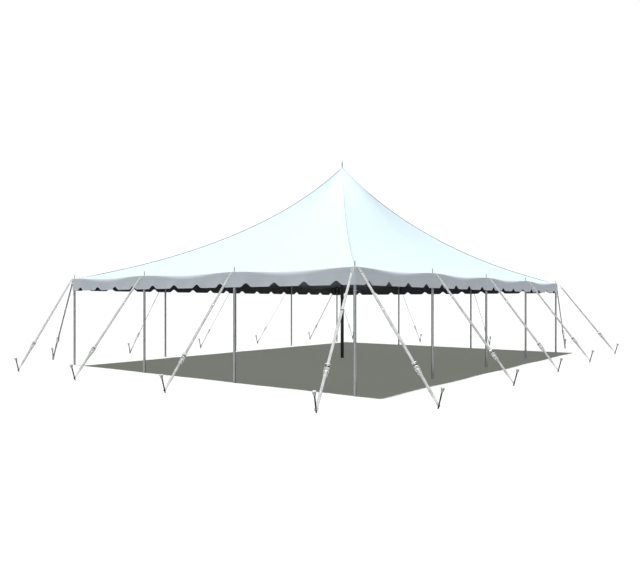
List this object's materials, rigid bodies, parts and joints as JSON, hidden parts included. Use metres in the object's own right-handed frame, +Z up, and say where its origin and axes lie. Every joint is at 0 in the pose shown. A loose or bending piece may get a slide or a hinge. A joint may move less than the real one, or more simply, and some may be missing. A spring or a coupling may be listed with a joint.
{
  "type": "marquee tent",
  "caption": "White pole marquee with a swooped roof raised on a centre pole, scalloped valances, side poles, webbing guy straps with ratchets, and ground stakes.",
  "frame": {"origin": "on the ground under the centre pole, at the middle of the tent", "axes": "+X along the long side, +Y along the short side towards the back, +Z up"},
  "size_m": [16.0478, 12.9998, 5.9868],
  "materials": {
    "canopy_vinyl": "coated, semi-matt, white outside",
    "valance_vinyl": "coated, semi-matt, white outside",
    "side_tube": "mill",
    "centre_tube": "dark satin",
    "webbing": "woven polyester",
    "stake_steel": "dark forged"
  },
  "bodies": {
    "root": {"roof_front": "canopy_vinyl", "roof_back": "canopy_vinyl", "roof_left": "canopy_vinyl", "roof_right": "canopy_vinyl", "valance_front": "valance_vinyl", "valance_back": "valance_vinyl", "valance_left": "valance_vinyl", "valance_right": "valance_vinyl", "centre_pole": "centre_tube", "corner_pole_front_left": "side_tube", "corner_pole_front_right": "side_tube", "corner_pole_back_left": "side_tube", "corner_pole_back_right": "side_tube", "front_pole_1": "side_tube", "front_pole_2": "side_tube", "front_pole_3": "side_tube", "back_pole_1": "side_tube", "back_pole_2": "side_tube", "back_pole_3": "side_tube", "left_pole_1": "side_tube", "left_pole_2": "side_tube", "right_pole_1": "side_tube", "right_pole_2": "side_tube", "guy_strap_front_1": "webbing", "guy_strap_front_2": "webbing", "guy_strap_front_3": "webbing", "guy_strap_front_4": "webbing", "guy_strap_front_5": "webbing", "guy_strap_back_1": "webbing", "guy_strap_back_2": "webbing", "guy_strap_back_3": "webbing", "guy_strap_back_4": "webbing", "guy_strap_back_5": "webbing", "guy_strap_left_1": "webbing", "guy_strap_left_2": "webbing", "guy_strap_left_3": "webbing", "guy_strap_left_4": "webbing", "guy_strap_right_1": "webbing", "guy_strap_right_2": "webbing", "guy_strap_right_3": "webbing", "guy_strap_right_4": "webbing", "stake_front_1": "stake_steel", "stake_front_2": "stake_steel", "stake_front_3": "stake_steel", "stake_front_4": "stake_steel", "stake_front_5": "stake_steel", "stake_back_1": "stake_steel", "stake_back_2": "stake_steel", "stake_back_3": "stake_steel", "stake_back_4": "stake_steel", "stake_back_5": "stake_steel", "stake_left_1": "stake_steel", "stake_left_2": "stake_steel", "stake_left_3": "stake_steel", "stake_left_4": "stake_steel", "stake_right_1": "stake_steel", "stake_right_2": "stake_steel", "stake_right_3": "stake_steel", "stake_right_4": "stake_steel"}
  },
  "joints": []
}
